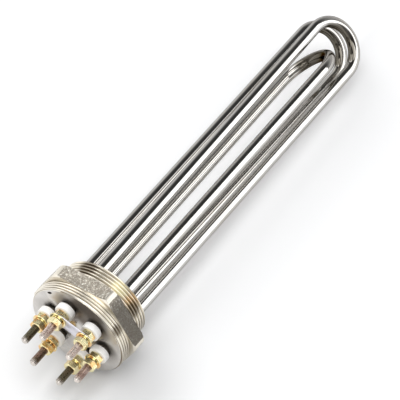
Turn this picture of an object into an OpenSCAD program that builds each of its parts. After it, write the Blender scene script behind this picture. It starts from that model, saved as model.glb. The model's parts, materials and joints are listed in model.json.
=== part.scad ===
// Screw plug immersion heater: three hairpin elements brazed into a hexagon plug with screw terminals.
// The heater's axis is X. The terminals stand on the -X side, the hairpins reach out on the +X side.
// The origin is the centre of the shoulder that seals against the tank wall. One flat of the hexagon faces up.

/* [Plug] */
// Outside diameter of the tank thread
tank_thread_d = 59.6; // [56:0.1:64]
// Length of the tank thread from the shoulder
tank_thread_len = 14; // [11:0.5:20]
// Hexagon size across flats
hex_af = 68.5; // [68.5:0.5:74]
// Diameter that the hexagon's corners are turned down to
hex_corner_d = 77.7; // [76.5:0.1:78.5]
// Thickness of the hexagon
hex_t = 10; // [8:0.5:16]
// Outside diameter of the collar thread that takes a cover
collar_d = 68; // [64:0.5:68]
// Length of the collar
collar_len = 7.5; // [6:0.5:12]
// Chamfer on the plug's turned edges
plug_chamfer = 1; // [0.4:0.1:1.4]
// Diameter of the counterbore round each terminal
counterbore_d = 10.5; // [9.6:0.1:12]
// Depth of the counterbores
counterbore_depth = 8; // [5:0.5:11]
// Length of the slot in the face where a cover's stop engages
slot_len = 4; // [2:0.1:5]
// Width of the slot
slot_w = 1.8; // [1:0.1:2]
// Turn of the slot from the upright
slot_turn = 36; // [0:1:60]

/* [Hairpins] */
// Diameter of the circle on which the element legs stand
leg_circle_d = 40; // [38:0.5:42]
// Turn of the leg pattern from the upright
pattern_turn = 12.5; // [0:0.5:20]
// Outside diameter of the sheath tube
tube_d = 8; // [7.5:0.1:8.5]
// How much thinner the drawn legs are than the bend, on the radius
leg_draw = 0.1; // [0.1:0.05:0.2]
// Wall of the sheath tube
tube_wall = 0.6; // [0.4:0.05:0.9]
// Bend radius of the two parallel hairpins
side_bend_r = 19; // [18:0.5:21]
// Bend radius of the hairpin that crosses between them
cross_bend_r = 22; // [21:0.5:26]
// Reach of the first hairpin from the shoulder
side_reach = 282.5; // [200:2.5:400]
// How far the second hairpin reaches beyond the first
second_long = 4.5; // [0:0.5:8]
// How far the crossing hairpin ends behind the first
cross_short = 22.5; // [16:0.5:40]
// Sideways set of the first hairpin's bend
set_1 = -1; // [-1:0.5:1]
// Sideways set of the second hairpin's bend
set_2 = -4; // [-5:0.5:-3]
// Sideways set of the crossing hairpin's bend
set_3 = -0.5; // [-0.5:0.5:0.5]
// Lean of the crossing hairpin out of its plane
cross_lean = 0.35; // [0:0.05:0.5]
// Distance behind the plug at which the legs turn outward
leg_turn_off = 4; // [3:0.5:10]

/* [Terminals] */
// Thread diameter of the terminal studs
stud_d = 5; // [4.8:0.1:5.2]
// How far the studs stand out of the plug's face
stud_reach = 28; // [24:0.5:32]
// Diameter of the pin inside the tube
pin_d = 3.2; // [2.5:0.1:3.5]
// Diameter of the heating coil
coil_d = 4.4; // [4:0.1:5]
// How far the tube ends stand out of the plug's face
tube_stand = 1.3; // [0.8:0.1:3]
// Diameter of the ceramic insulators
insulator_d = 12.5; // [11.5:0.1:13]
// Thickness of the ceramic insulators
insulator_t = 4.5; // [3:0.1:6]
// Length of the insulator's spigot in the tube
spigot_len = 2; // [1.5:0.1:3]
// Length of the seal in the tube's mouth
seal_len = 6; // [4:0.5:9]
// Nut size across flats
nut_af = 8.6; // [8:0.1:9.5]
// Nut height
nut_t = 4; // [3:0.1:5]
// Plain washer diameter
washer_d = 11.5; // [10:0.1:12]
// Plain washer thickness
washer_t = 0.8; // [0.6:0.1:1.2]
// Spring washer diameter
spring_d = 8.8; // [8.4:0.1:9.2]
// Spring washer thickness
spring_t = 1; // [0.8:0.1:1.4]
// Gap in the spring washers
spring_gap = 0.8; // [0.5:0.1:1.2]
// Width of the link strip
link_w = 10; // [8:0.5:11]
// Thickness of the link strip
link_t = 0.8; // [0.6:0.1:1.2]

/* [Fits] */
// Radial clearance between parts that slip into each other
fit_gap = 0.05; // [0.02:0.01:0.1]
// Radial clearance of washers and link on the studs
loose_gap = 0.15; // [0.1:0.05:0.3]
// Height of the braze fillets
braze_h = 1.5; // [1:0.1:2]

/* [Hidden] */
$fn = 96;
// Places along the axis, counted from the shoulder
face_x = -hex_t - collar_len;
tube_end_x = face_x - tube_stand;
insulator_end_x = tube_end_x - insulator_t;
lower_nut_end_x = insulator_end_x - nut_t;
stud_tip_x = face_x - stud_reach;
spigot_end_x = tube_end_x + spigot_len;
fill_x = spigot_end_x + seal_len;
leg_turn_x = tank_thread_len + leg_turn_off;
pin_end_x = leg_turn_x - tube_d / 4;
// Length by which a leg is let into the plug end and into the bend
leg_let_in = tube_d / 16;
// Radii
leg_circle_r = leg_circle_d / 2;
tube_r = tube_d / 2;
fill_r = tube_r - tube_wall;
stud_r = stud_d / 2;
pin_r = pin_d / 2;
coil_r = coil_d / 2;
// Turn from one nut to the next, and of the first upper nut
lower_nut_turn = 25;
upper_nut_turn = 35;
upper_nut_start = 10;
// Turn from one spring washer's gap to the next
spring_turn = 75;
// Legs in turn round the plug, as angles from the upright
LEG_NAMES = ["a", "b", "c", "d", "e", "f"];
LEG_ANGLES = [60, 0, 120, -60, 180, -120];
// The link strip joins terminals b and d, so their washers and nuts sit higher
LINKED = [1, 3];
// Radius at which the slot stands, between the counterbores and the collar's chamfer
slot_r = collar_d / 2 - plug_chamfer - slot_w * 1.2;
// Hairpins: turn of the loop, distance of its plane from the axis, half width at the plug,
// bend radius, reach, set and lean
chord_half = leg_circle_r * sin(60);
chord_off = leg_circle_r * cos(60);
HAIRPINS = [
    [30, chord_off, chord_half, side_bend_r, side_reach, set_1, 0],
    [30, -chord_off, chord_half, side_bend_r, side_reach + second_long, set_2, 0],
    [120, 0, leg_circle_r, cross_bend_r, side_reach - cross_short, set_3, cross_lean]
];

// Rise of a terminal's washers and upper nut where the link strip lies under them
function link_rise(i) = len(search(i, LINKED)) > 0 ? link_t : 0;
// Outer end of a terminal's plain washer, spring washer and upper nut
function washer_end(i) = lower_nut_end_x - link_rise(i) - washer_t;
function spring_end(i) = washer_end(i) - spring_t;
function nut_end(i) = spring_end(i) - nut_t;

// A solid turned about the X axis from points of radius and place along X
module turned(points) {
    rotate([0, 90, 0])
        rotate_extrude()
            polygon(points);
}

// A round bar along X
module bar(x0, x1, r) {
    translate([x0, 0, 0])
        rotate([0, 90, 0])
            cylinder(h = x1 - x0, r = r);
}

// A hexagon bar along X with a flat facing up
module hex_bar(x0, x1, af) {
    translate([x0, 0, 0])
        rotate([0, 90, 0])
            rotate([0, 0, 30])
                cylinder(h = x1 - x0, r = af / 2 / cos(30), $fn = 6);
}

// Places its children at one leg of the pattern
module at_leg(i) {
    rotate([-pattern_turn - LEG_ANGLES[i], 0, 0])
        translate([0, 0, leg_circle_r])
            children();
}

// A hexagon nut from x1 down to x0, chamfered on both faces, turned about its stud
module nut(x0, x1, turn) {
    chamfer = nut_af * 0.06;
    corner_r = nut_af / 2 / cos(30);
    difference() {
        intersection() {
            rotate([turn, 0, 0])
                hex_bar(x0, x1, nut_af);
            turned([
                [0, x0], [corner_r - chamfer * 1.6, x0], [corner_r, x0 + chamfer],
                [corner_r, x1 - chamfer], [corner_r - chamfer * 1.6, x1], [0, x1]
            ]);
        }
        bar(x0 - 1, x1 + 1, stud_r + fit_gap);
    }
}

// Angle by which a leg turns out behind the plug so that it meets the bend as a tangent.
// run is the distance from the turn to the bend's centre, set the sideways set of the bend towards this leg.
function leg_angle(half, bend_r, set, run) =
    asin(bend_r / norm([run, half - set])) - atan2(half - set, run);
function leg_length(half, bend_r, set, run) = sqrt(run * run + (half - set) * (half - set) - bend_r * bend_r);

// The leg of a hairpin behind its turn, in the loop's own plane and counted from the turn.
// It is a little thinner than the rest, and its ends are let into the thicker lengths.
module leg(r, half, bend_r, set, run) {
    translate([0, half, 0])
        rotate([0, 0, leg_angle(half, bend_r, set, run)])
            bar(-leg_let_in, leg_length(half, bend_r, set, run) + leg_let_in, r - leg_draw);
}

// Places its children in the plane of a hairpin, with Y toward its first leg
module in_loop(h) {
    rotate([90 - pattern_turn - h[0], 0, 0])
        translate([0, 0, h[1]])
            children();
}

// A round bar that follows a hairpin's centre line, both legs starting at x0
module hairpin(h, r, x0) {
    half = h[2];
    bend_r = h[3];
    bend_x = h[4] - tube_r - bend_r;
    set = h[5];
    run = bend_x - leg_turn_x;
    angle_1 = leg_angle(half, bend_r, set, run);
    angle_2 = leg_angle(half, bend_r, -set, run);
    in_loop(h)
        union() {
            for (side = [-1, 1])
                translate([0, side * half, 0])
                    bar(x0, leg_turn_x, r);
            translate([leg_turn_x, 0, 0])
                rotate([0, h[6], 0]) {
                    leg(r, half, bend_r, set, run);
                    mirror([0, 1, 0])
                        leg(r, half, bend_r, -set, run);
                    translate([run, set, 0])
                        rotate([0, 0, -90 - angle_2])
                            rotate_extrude(angle = 180 + angle_1 + angle_2)
                                translate([bend_r, 0])
                                    circle(r = r);
                }
        }
}

// The plug: hexagon, collar and tank thread in one piece, bored for the six tube ends
module plug_body() {
    thread_r = tank_thread_d / 2;
    collar_r = collar_d / 2;
    corner_r = hex_corner_d / 2;
    end_x = tank_thread_len;
    color("tan")
        difference() {
            union() {
                intersection() {
                    hex_bar(-hex_t, 0, hex_af);
                    turned([
                        [0, -hex_t], [corner_r - plug_chamfer * 1.6, -hex_t], [corner_r, plug_chamfer - hex_t],
                        [corner_r, -plug_chamfer], [corner_r - plug_chamfer * 1.6, 0], [0, 0]
                    ]);
                }
                turned([
                    [0, face_x], [collar_r - plug_chamfer, face_x], [collar_r, face_x + plug_chamfer],
                    [collar_r, -hex_t / 2], [0, -hex_t / 2]
                ]);
                turned([
                    [0, -hex_t / 2], [thread_r, -hex_t / 2], [thread_r, end_x - plug_chamfer],
                    [thread_r - plug_chamfer, end_x], [0, end_x]
                ]);
            }
            for (i = [0 : 5])
                at_leg(i) {
                    bar(face_x - 1, end_x + 1, tube_r + fit_gap);
                    bar(face_x - 1, face_x + counterbore_depth, counterbore_d / 2);
                }
            rotate([-slot_turn, 0, 0])
                translate([face_x - 1, -slot_len / 2, slot_r - slot_w / 2])
                    cube([slot_w + 1, slot_len, slot_w]);
        }
}

// Stainless tube bent to a hairpin
module element_sheath(i) {
    color("gainsboro")
        difference() {
            hairpin(HAIRPINS[i], tube_r, tube_end_x);
            hairpin(HAIRPINS[i], fill_r, tube_end_x - 1);
        }
}

// Resistance coil, drawn as a bar of the coil's outside diameter
module heating_coil(i) {
    color("dimgray")
        hairpin(HAIRPINS[i], coil_r, pin_end_x);
}

// Pressed magnesia round the coil and the inner ends of the pins
module magnesia_fill(i) {
    color("whitesmoke")
        difference() {
            hairpin(HAIRPINS[i], fill_r, fill_x);
            hairpin(HAIRPINS[i], coil_r, pin_end_x);
            in_loop(HAIRPINS[i])
                for (side = [-1, 1])
                    translate([0, side * HAIRPINS[i][2], 0])
                        bar(fill_x - 1, pin_end_x + leg_let_in, pin_r);
        }
}

// Rings of brazing metal where the tubes leave the plug on the tank side
module braze_fillets() {
    color("goldenrod")
        for (i = [0 : 5])
            at_leg(i)
                turned([
                    [tube_r, tank_thread_len], [tube_r + braze_h, tank_thread_len],
                    [tube_r + braze_h * 0.3, tank_thread_len + braze_h * 0.4], [tube_r, tank_thread_len + braze_h]
                ]);
}

// Terminal pin: threaded stud outside, plain pin inside the tube
module terminal_pin(i) {
    tip = stud_d * 0.2;
    color("rosybrown")
        at_leg(i)
            turned([
                [0, stud_tip_x], [stud_r - tip, stud_tip_x], [stud_r, stud_tip_x + tip], [stud_r, spigot_end_x],
                [pin_r, spigot_end_x], [pin_r, pin_end_x], [0, pin_end_x]
            ]);
}

// Resin seal in the tube's mouth
module end_seal(i) {
    color("sienna")
        at_leg(i)
            turned([
                [pin_r, spigot_end_x], [fill_r, spigot_end_x], [fill_r, fill_x], [pin_r, fill_x]
            ]);
}

// Ceramic bush that stands on the tube's end, with a spigot inside the tube
module ceramic_insulator(i) {
    outer_r = insulator_d / 2;
    bore_r = stud_r + fit_gap;
    spigot_r = fill_r - fit_gap;
    edge = insulator_t * 0.15;
    color("ivory")
        at_leg(i)
            turned([
                [bore_r, insulator_end_x], [outer_r - edge, insulator_end_x], [outer_r, insulator_end_x + edge],
                [outer_r, tube_end_x - edge], [outer_r - edge, tube_end_x], [spigot_r, tube_end_x],
                [spigot_r, spigot_end_x], [bore_r, spigot_end_x]
            ]);
}

// Nuts that hold the ceramic bushes
module lower_nuts() {
    color("darkkhaki")
        for (i = [0 : 5])
            at_leg(i)
                nut(lower_nut_end_x, insulator_end_x, lower_nut_turn * i);
}

// Flat strip that joins two neighbouring terminals
module link_strip() {
    middle = (LEG_ANGLES[LINKED[0]] + LEG_ANGLES[LINKED[1]]) / 2;
    half_span = leg_circle_r * sin(30);
    x0 = lower_nut_end_x - link_t;
    color("lightsteelblue")
        rotate([-pattern_turn - middle, 0, 0])
            translate([x0, 0, leg_circle_r * cos(30)])
                difference() {
                    union() {
                        translate([0, -half_span, -link_w / 2])
                            cube([link_t, 2 * half_span, link_w]);
                        for (side = [-1, 1])
                            translate([0, side * half_span, 0])
                                bar(0, link_t, link_w / 2);
                    }
                    for (side = [-1, 1])
                        translate([0, side * half_span, 0])
                            bar(-1, link_t + 1, stud_r + loose_gap);
                }
}

// Plain washers on the lower nuts
module plain_washers() {
    color("khaki")
        for (i = [0 : 5])
            at_leg(i)
                difference() {
                    bar(washer_end(i), washer_end(i) + washer_t, washer_d / 2);
                    bar(washer_end(i) - 1, washer_end(i) + washer_t + 1, stud_r + loose_gap);
                }
}

// Split spring washers under the upper nuts
module spring_washers() {
    color("darkgoldenrod")
        for (i = [0 : 5])
            at_leg(i)
                difference() {
                    bar(spring_end(i), spring_end(i) + spring_t, spring_d / 2);
                    bar(spring_end(i) - 1, spring_end(i) + spring_t + 1, stud_r + loose_gap);
                    rotate([spring_turn * i, 0, 0])
                        translate([spring_end(i) - 1, -spring_gap / 2, 0])
                            cube([spring_t + 2, spring_gap, spring_d]);
                }
}

// Nuts that clamp the wires
module upper_nuts() {
    color("darkkhaki")
        for (i = [0 : 5])
            at_leg(i)
                nut(nut_end(i), spring_end(i), upper_nut_start + upper_nut_turn * i);
}

plug_body();
braze_fillets();
for (i = [0 : 2]) {
    element_sheath(i);
    magnesia_fill(i);
    heating_coil(i);
}
for (i = [0 : 5]) {
    terminal_pin(i);
    end_seal(i);
    ceramic_insulator(i);
}
lower_nuts();
link_strip();
plain_washers();
spring_washers();
upper_nuts();
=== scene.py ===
"""Screw plug immersion heater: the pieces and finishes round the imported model, and the studio they stand in."""

import json
import math

import bmesh
import bpy
from mathutils import Matrix, Vector, noise


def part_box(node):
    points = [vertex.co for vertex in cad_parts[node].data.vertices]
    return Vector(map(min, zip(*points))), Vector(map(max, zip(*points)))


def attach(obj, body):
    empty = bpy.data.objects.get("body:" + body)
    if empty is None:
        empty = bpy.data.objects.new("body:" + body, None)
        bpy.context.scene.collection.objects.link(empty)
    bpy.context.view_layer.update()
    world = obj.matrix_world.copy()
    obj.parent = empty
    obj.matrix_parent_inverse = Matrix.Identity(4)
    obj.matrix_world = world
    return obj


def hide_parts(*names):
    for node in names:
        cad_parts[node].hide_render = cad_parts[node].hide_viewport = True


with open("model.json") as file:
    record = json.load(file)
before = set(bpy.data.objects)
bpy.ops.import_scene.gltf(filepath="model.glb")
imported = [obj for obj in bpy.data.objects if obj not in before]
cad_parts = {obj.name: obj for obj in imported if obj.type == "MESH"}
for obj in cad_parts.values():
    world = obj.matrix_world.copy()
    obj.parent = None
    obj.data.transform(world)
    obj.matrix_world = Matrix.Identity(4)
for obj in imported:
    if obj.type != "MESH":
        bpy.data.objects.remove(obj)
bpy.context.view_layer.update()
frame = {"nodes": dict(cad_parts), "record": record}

bl_info = {
    "name": "Screw plug immersion heater",
    "version": (1, 0, 0),
    "blender": (4, 5, 0),
    "location": "View3D > Sidebar > Heater",
    "description": "Builds the plug, hairpins and terminals of an immersion heater, and a studio for it",
    "category": "Object",
}

MM = 0.001
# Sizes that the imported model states, and the hexagon's thickness in millimetres
MOUNTS = {m["name"]: m["dims"] for m in frame["record"]["mounts"]}
PLUG_LOW, PLUG_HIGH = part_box("plug_body")
HEX_T = 10
# Legs a to f: their places round the plug in degrees from the upright, and the angle between neighbours
LEG_NAMES = "abcdef"
LEGS = range(len(LEG_NAMES))
LEG_ANGLES = (60, 0, 120, -60, 180, -120)
LEG_STEP = math.radians(60)
# The two legs that the link joins
LINKED = (1, 3)
# Room round what a piece is put on: close in bores, wider in the holes of washers and link
BORE_GAP, HOLE_GAP = 0.05 * MM, 0.15 * MM
# Facets of round pieces, steps of threads, bends and tubes
BORE_FACETS, HOLE_FACETS, BUSH_FACETS, WASHER_FACETS, SLOT_FACETS = 48, 40, 64, 56, 16
PLUG_STEPS, STUD_STEPS, SPRING_STEPS = 160, 40, 48
STUB_STEPS, RUN_STEPS, BEND_STEPS = 3, 12, 88
# Depth of the studs' thread and of the cone at their tips
STUD_DEPTH, STUD_CONE = 0.42 * MM, 1.2 * MM
# Nuts: lead-in of the bore, what is turned off the corners, chamfer as a share of the width
NUT_LEAD, NUT_TRIM, NUT_CHAMFER = 0.25 * MM, 0.02 * MM, 0.075
# Spring washers: sweep of the coil and its rise as a share of the height
SPRING_SWEEP, SPRING_RISE = math.radians(348), 0.2
# Radii of eased edges
MOUTH_EASE, BUSH_EASE, WASHER_EASE, LINK_EASE = 0.3 * MM, 0.55 * MM, 0.15 * MM, 0.32 * MM
# Hexagons: rounding as a share of the width, fall of the chamfers, degrees from a flat's middle that stay cast
HEX_EASE, CHAMFER_FALL, CAST_SPREAD = 0.005, 1.6, 27.2
# Size of the lumps and waves of the cast flats, as scales of noise
CAST_LUMPS, CAST_WAVES = 260, 90
# Angle in radians above which an edge is eased, and how near a vertex has to be to lie in a plane
STEEP, PLANE_GAP = 1.0, 1e-6
# Painted dark reflection inside the bends of the side hairpins and the crossing one: share of the bend where it
# starts, and its edge in tube radii from the middle. Then the share and the radii over which it grows
SIDE_BEND_DARK, CROSS_BEND_DARK = (0.05, 0.1), (0.14, -0.2)
BEND_DARK_GROWTH, BEND_DARK_FADE = 0.1, 0.6
# Patches in millimetres: worn to the brass, a painted highlight, painted dark reflections and shade with their
# size, and a painted dark reflection on the face
WORN_SPOT, HIGHLIGHT_SPOT = (9, -24, 18), (8, -16, 25)
PAINTED_DARK_SPOTS = (((6, -26.5, 13), 8), ((9, 8.5, 28.5), 9), ((-14, -28.7, 16.6), 5.5))
DARK_REFLECTION_SPOT = (0, -9, 23)
# How bright each stud is, and the colours from scorched to bare
STUD_TINTS = (0.12, 0.82, 0.4, 0.88, 0.16, 0.66)
STUD_STOPS = ((0.0, (0.13, 0.125, 0.075)), (0.3, (0.2, 0.16, 0.11)), (0.5, (0.34, 0.22, 0.18)),
              (0.8, (0.66, 0.53, 0.47)), (1.0, (0.78, 0.7, 0.64)))
# Colours of wear, of painted highlight, painted dark reflections and painted shade, of soil and of heat
WORN_BRASS, HIGHLIGHT_TONE = (0.74, 0.52, 0.27), (0.95, 0.89, 0.68)
PAINTED_DARK_TONE, THREAD_ROOT_SHADE, STUD_ROOT_SHADE = (0.13, 0.1, 0.065), (0.19, 0.14, 0.09), (0.1, 0.08, 0.06)
PAINTED_DARK_REFLECTION, BORE_SHADE_DEEP, BORE_SHADE_WALL = (0.11, 0.088, 0.068), (0.1, 0.085, 0.07), (0.2, 0.165, 0.13)
HEAT_TINT, BEND_DARK_TONE, TUBE_END_SHADE = (0.55, 0.51, 0.455), (0.085, 0.073, 0.052), (0.13, 0.11, 0.09)
CERAMIC_SOIL, CERAMIC_SPECK, ZINC_GREEN = (0.87, 0.8, 0.7), (0.5, 0.44, 0.37), (0.72, 0.71, 0.44)


def length(description, size):
    """A length that a user may change, given in millimetres."""
    return bpy.props.FloatProperty(description=description, default=size * MM, unit="LENGTH", precision=5)


def angle(description, degrees):
    """An angle that a user may change."""
    return bpy.props.FloatProperty(description=description, default=math.radians(degrees), subtype="ANGLE")


def color(description, default):
    """A colour that a user may change."""
    return bpy.props.FloatVectorProperty(
        description=description, default=default, subtype="COLOR", size=3, min=0.0, max=1.0)


class HeaterSizes(bpy.types.PropertyGroup):
    """Sizes of the heater's pieces."""
    tank_thread_d: length("Outside diameter of the tank thread", 2 * MOUNTS["tank_thread"]["r_mm"])
    tank_thread_len: length("Length of the tank thread from the shoulder", PLUG_HIGH.x / MM)
    tank_pitch: length("Pitch of the tank thread", 2.309)
    tank_depth: length("Depth of the tank thread", 1.4)
    hex_af: length("Hexagon size across flats", (PLUG_HIGH.z - PLUG_LOW.z) / MM)
    hex_corner_d: length("Diameter that the corners are turned to", (PLUG_HIGH.y - PLUG_LOW.y) / MM)
    hex_t: length("Thickness of the hexagon", HEX_T)
    collar_d: length("Outside diameter of the collar thread", 2 * MOUNTS["cover_thread"]["r_mm"])
    collar_len: length("Length of the collar in front of the hexagon", -PLUG_LOW.x / MM - HEX_T)
    cover_pitch: length("Pitch of the collar thread", 2)
    cover_depth: length("Depth of the collar thread", 0.9)
    plug_chamfer: length("Chamfer on the plug's turned edges", 1)
    counterbore_d: length("Diameter of the counterbore round each terminal", 10.5)
    counterbore_depth: length("Depth of the counterbores", 8)
    slot_len: length("Length of the slot in the face", 4)
    slot_w: length("Width of the slot in the face", 1.8)
    slot_turn: angle("Turn of the slot from the upright", 36)
    cast_relief: length("Depth of the unevenness of the cast flats", 0.3)
    leg_circle_d: length("Circle on which the legs stand", MOUNTS["terminal_studs"]["pcd_mm"])
    pattern_turn: angle("Turn of the leg pattern from the upright", 12.5)
    tube_d: length("Outside diameter of the sheath tube", 8)
    tube_wall: length("Wall of the sheath tube", 0.6)
    side_bend_r: length("Bend radius of the two parallel hairpins", 19)
    cross_bend_r: length("Bend radius of the crossing hairpin", 22)
    side_reach: length("Reach of the first hairpin from the shoulder", 282.48)
    second_long: length("How far the second hairpin reaches beyond the first", 4.5)
    cross_short: length("How far the crossing hairpin ends behind the first", 22.5)
    set_1: length("Sideways set of the first hairpin's bend", -1)
    set_2: length("Sideways set of the second hairpin's bend", -4)
    set_3: length("Sideways set of the crossing hairpin's bend", -0.5)
    cross_lean: angle("Lean of the crossing hairpin out of its plane", 0.35)
    leg_turn_off: length("Distance behind the plug at which the legs turn outward", 4)
    stud_d: length("Thread diameter of the terminal studs", 2 * MOUNTS["terminal_studs"]["stud_r_mm"])
    stud_reach: length("How far the studs stand out of the plug's face", 28)
    stud_pitch: length("Pitch of the studs' thread", 0.8)
    pin_d: length("Diameter of the pin inside the tube", 3.2)
    tube_stand: length("How far the tube ends stand out of the plug's face", 1.3)
    insulator_d: length("Diameter of the ceramic insulators", 12.5)
    insulator_t: length("Thickness of the ceramic insulators", 4.5)
    spigot_len: length("Length of the insulator's spigot in the tube", 2)
    nut_af: length("Nut size across flats", 8.6)
    nut_t: length("Height of the nuts", 4)
    washer_d: length("Diameter of the plain washers", 11.5)
    washer_t: length("Thickness of the plain washers", 0.8)
    spring_d: length("Diameter of the spring washers", 8.8)
    spring_t: length("Height that a spring washer takes up", 1)
    link_w: length("Width of the link strip", 10)
    link_t: length("Thickness of the link strip", 0.8)
    braze_h: length("Height of the braze fillets", 1.5)


class HeaterFinishes(bpy.types.PropertyGroup):
    """Colours of the heater's finishes."""
    plug: color("Turned nickel of the plug", (0.9, 0.845, 0.74))
    cast: color("Cast nickel of the hexagon's flats", (0.56, 0.505, 0.425))
    face: color("Polished face of the plug", (0.71, 0.685, 0.655))
    sheath: color("Polished stainless tube", (0.61, 0.595, 0.57))
    ceramic: color("Fired ceramic", (0.95, 0.94, 0.915))
    zinc: color("Yellow passivated zinc", (0.88, 0.79, 0.47))
    zinc_tint: color("Red tint of the passivated zinc", (0.87, 0.56, 0.25))
    stud: color("Bare steel of the studs", (0.74, 0.69, 0.64))
    link: color("Plated steel of the link strip", (0.7, 0.69, 0.74))
    braze: color("Brazing metal", (0.7, 0.57, 0.34))
    floor: color("Pale studio floor", (0.784, 0.788, 0.796))


class Value:
    """A shader socket. Python's operators on it add Math nodes."""

    def __init__(self, graph, socket):
        self.graph = graph
        self.socket = socket

    def math(self, operation, *others):
        """A Math node of that operation with this value first."""
        return self.graph.node("ShaderNodeMath", {"operation": operation}, dict(enumerate((self, *others))))

    def __add__(self, other):
        return self.math("ADD", other)

    __radd__ = __add__

    def __mul__(self, other):
        return self.math("MULTIPLY", other)

    __rmul__ = __mul__

    def __sub__(self, other):
        return self.math("SUBTRACT", other)

    def __rsub__(self, other):
        return self.graph.node("ShaderNodeMath", {"operation": "SUBTRACT"}, {0: other, 1: self})

    def __pow__(self, other):
        return self.math("POWER", other)

    def band(self, low, high, soft_low=0.0, soft_high=1.0):
        """This value brought from low..high to soft_low..soft_high with smooth ends."""
        return self.graph.node(
            "ShaderNodeMapRange", {"interpolation_type": "SMOOTHSTEP"},
            {0: self, 1: low, 2: high, 3: soft_low, 4: soft_high})


class Graph:
    """The nodes of one material or world."""

    def __init__(self, tree):
        self.tree = tree

    def node(self, kind, settings=None, inputs=None, output=0):
        """Adds a node, sets it up, feeds its sockets and returns one of its outputs."""
        made = self.tree.nodes.new(kind)
        for name, value in (settings or {}).items():
            if name == "stops":
                self.set_stops(made.color_ramp, value)
            else:
                setattr(made, name, value)
        for key, value in (inputs or {}).items():
            self.feed(made.inputs[key], value)
        return Value(self, made.outputs[output])

    def feed(self, socket, value):
        """Links a value to a socket, or sets the socket to a constant."""
        if isinstance(value, Value):
            self.tree.links.new(value.socket, socket)
        else:
            socket.default_value = value

    @staticmethod
    def set_stops(ramp, stops):
        """Gives a colour ramp its stops, which run from 0 to 1."""
        for place, _ in stops[1:-1]:
            ramp.elements.new(place)
        for element, (_, tone) in zip(ramp.elements, stops):
            element.color = (*tone, 1)

    def place(self, scale=(1, 1, 1), turn=(0, 0, 0), at=None):
        """Object coordinates or a given place, stretched and turned."""
        at = at or self.node("ShaderNodeTexCoord", output=3)
        return self.node("ShaderNodeMapping", inputs={0: at, 2: turn, 3: scale})

    def layer(self, name, output=2):
        """A layer of the mesh: a vector from output 1, a number from output 2."""
        return self.node("ShaderNodeAttribute", {"attribute_name": name}, output=output)

    def away(self, spot, scale=(1, 1, 1)):
        """Distance from a spot in millimetres, in stretched Object coordinates."""
        inputs = {0: self.place(scale), 1: [c * MM for c in spot]}
        return self.node("ShaderNodeVectorMath", {"operation": "DISTANCE"}, inputs, output=1)

    def noise(self, scale, detail=3.0, rough=0.55, bend=0.0, at=None):
        """Soft noise from 0 to 1, in Object coordinates or at a given place."""
        inputs = {0: at or self.place(), 2: scale, 3: detail, 4: rough, 8: bend}
        return self.node("ShaderNodeTexNoise", inputs=inputs)

    def mix(self, share, first, second):
        """One colour turned into another by a share."""
        first, second = (c if isinstance(c, Value) else (*c, 1) for c in (first, second))
        return self.node("ShaderNodeMix", {"data_type": "RGBA"}, {0: share, 6: first, 7: second}, output=2)

    def parts(self, vector=None):
        """The three numbers of a vector, or else of the Object coordinates."""
        made = self.node("ShaderNodeSeparateXYZ", inputs={0: vector or self.place()})
        return [Value(self, socket) for socket in made.socket.node.outputs]


class Finish(Graph):
    """One procedural material round a Principled shader."""

    def __init__(self, name, metallic=1.0, **constants):
        self.material = bpy.data.materials.new(name)
        self.material.use_nodes = True
        super().__init__(self.material.node_tree)
        self.shader = self.tree.nodes["Principled BSDF"]
        for key, value in {"Metallic": metallic, **constants}.items():
            self.shader.inputs[key.replace("_", " ")].default_value = value

    def surface(self, base, rough, relief=None, strength=0.0, height=0.0):
        """Feeds the shader, with a relief whose height is in millimetres, and returns the material."""
        self.feed(self.shader.inputs["Base Color"], base)
        self.feed(self.shader.inputs["Roughness"], rough)
        if relief is not None:
            inputs = {"Strength": strength, "Distance": height * MM, "Height": relief}
            self.feed(self.shader.inputs["Normal"], self.node("ShaderNodeBump", inputs=inputs))
        return self.material


def shade(base, factor):
    """A colour made lighter or darker."""
    return tuple(min(1.0, c * factor) for c in base)


def clamp(value):
    """A number kept between 0 and 1."""
    return max(0.0, min(1.0, value))


def face_at(s):
    """Where the plug's face lies along X."""
    return -s.hex_t - s.collar_len


def turned_finish(colors):
    """Turned and plated metal of the threads and corners: painted shade in the roots and on the lower side, worn
    to brass in a patch, with a painted highlight and painted dark reflections and shade.
    """
    f = Finish("turned_nickel")
    cloud = f.noise(70.0, 4.0)
    streak = f.noise(1.0, at=f.place((900, 60, 60)))
    worn = (1 - f.away(WORN_SPOT).band(2 * MM, 9 * MM)) * cloud.band(0.2, 0.6)
    painted_highlight = 1 - f.away(HIGHLIGHT_SPOT).band(3 * MM, 8 * MM)
    base = f.mix(cloud.band(0.35, 0.8), shade(colors.plug, 0.9), shade(colors.plug, 1.12))
    base = f.mix(worn * 0.8, base, WORN_BRASS)
    # Painted highlight: a pale patch on the tank thread
    base = f.mix(painted_highlight * 0.85, base, HIGHLIGHT_TONE)
    # Painted dark reflections and shade: dark patches on the threads and collar
    for spot, size in PAINTED_DARK_SPOTS:
        base = f.mix((1 - f.away(spot).band(0.38 * size * MM, size * MM)) * 0.8, base, PAINTED_DARK_TONE)
    _, y, z = f.parts()
    # Painted shade: the lower side is darker, and the roots deeper on the left and lower sides
    low = (-1 * z).band(-12 * MM, 8 * MM)
    painted_shade = (0.6 * y.band(-6 * MM, 12 * MM)).math("MAXIMUM", low)
    base = f.mix(low * 0.6, base, shade(colors.plug, 0.5))
    # Painted shade in the thread roots, shallower under the painted highlight
    root_shade = (1 - f.layer("crest") + 0.5 * painted_shade).band(0.55, 1.0) * (0.8 - 0.5 * painted_highlight + 0.1 * painted_shade)
    base = f.mix(root_shade, base, THREAD_ROOT_SHADE)
    return f.surface(base, 0.2 + 0.14 * cloud + 0.08 * streak, streak * 0.6 + cloud * 0.4, 0.1, 0.2)


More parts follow.
